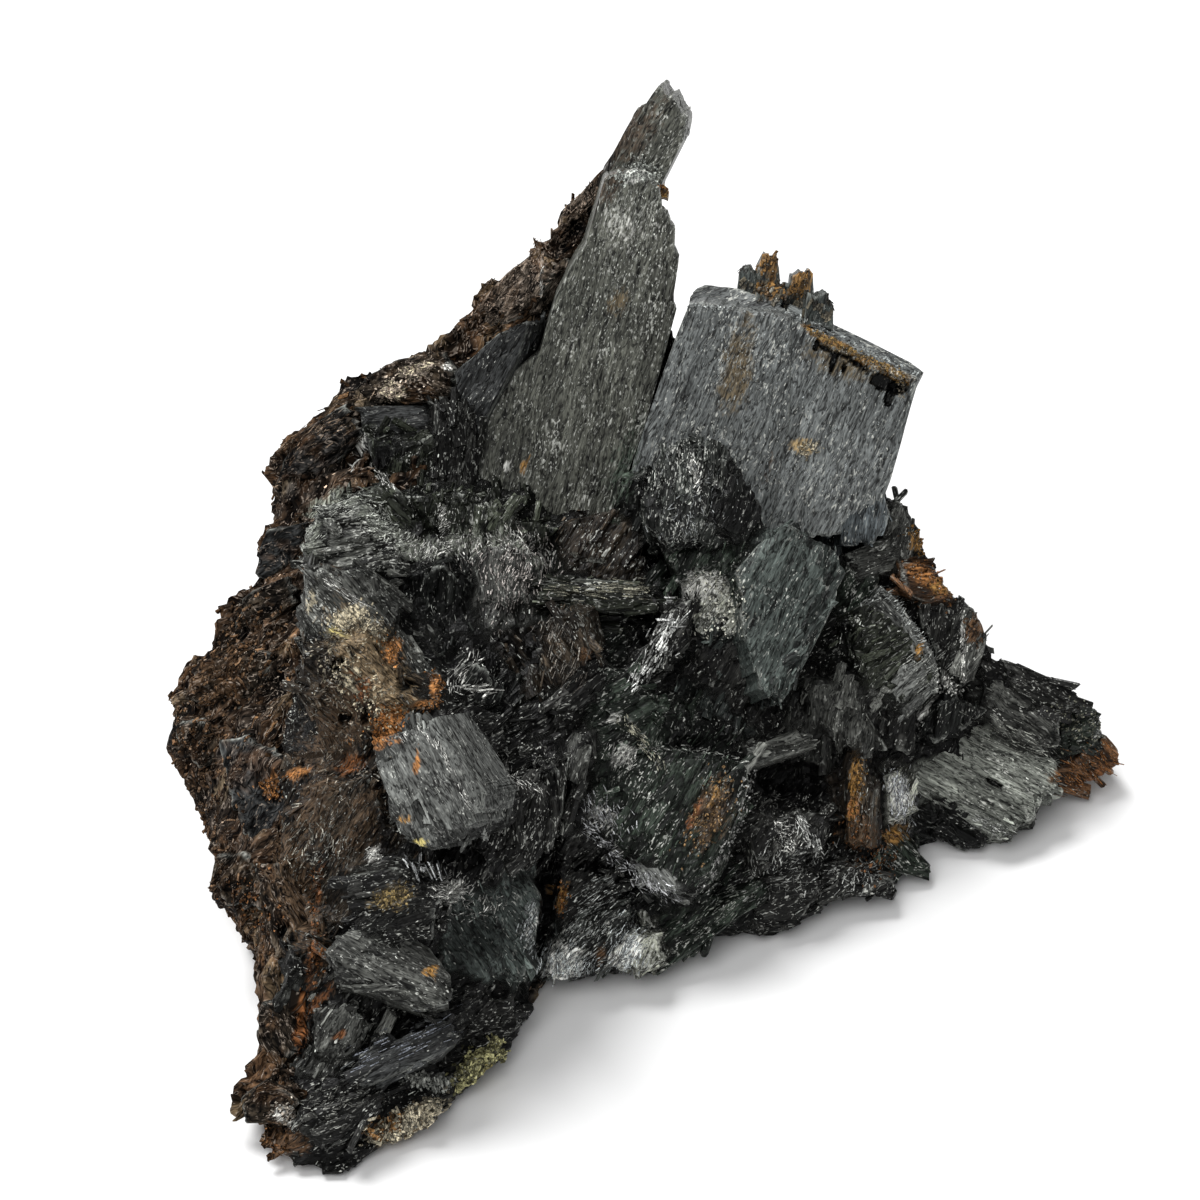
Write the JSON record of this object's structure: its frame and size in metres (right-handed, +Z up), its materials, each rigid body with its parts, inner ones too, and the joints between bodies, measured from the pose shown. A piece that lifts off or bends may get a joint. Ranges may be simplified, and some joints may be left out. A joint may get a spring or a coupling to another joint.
{
  "type": "amphibole crystal specimen",
  "caption": "Mineral specimen of dark grey-green amphibole crystals grown together on rusty brown host rock, with a tall blade and a broad bevelled block standing at the top.",
  "frame": {"origin": "a point near the middle of the flat foot that the specimen rests on", "axes": "+Z up, +Y away from the side that shows the crystals, +X to the right of that side"},
  "size_m": [0.1768, 0.1679, 0.1201],
  "materials": {
    "host_rock": "rough, broken and earthy, with rust and pale flecks",
    "dark_amphibole": "fibrous and splintery, with a glassy sparkle",
    "grey_green_amphibole": "flat faces with fine lengthwise lines and a silky sparkle",
    "blue_grey_amphibole": "flat faces with dense lengthwise lines, silky, stained ochre in places"
  },
  "bodies": {
    "root": {"host_rock": "host_rock", "crystal_mass": "dark_amphibole", "tall_crystal": "grey_green_amphibole", "block_crystal": "blue_grey_amphibole"}
  },
  "joints": []
}
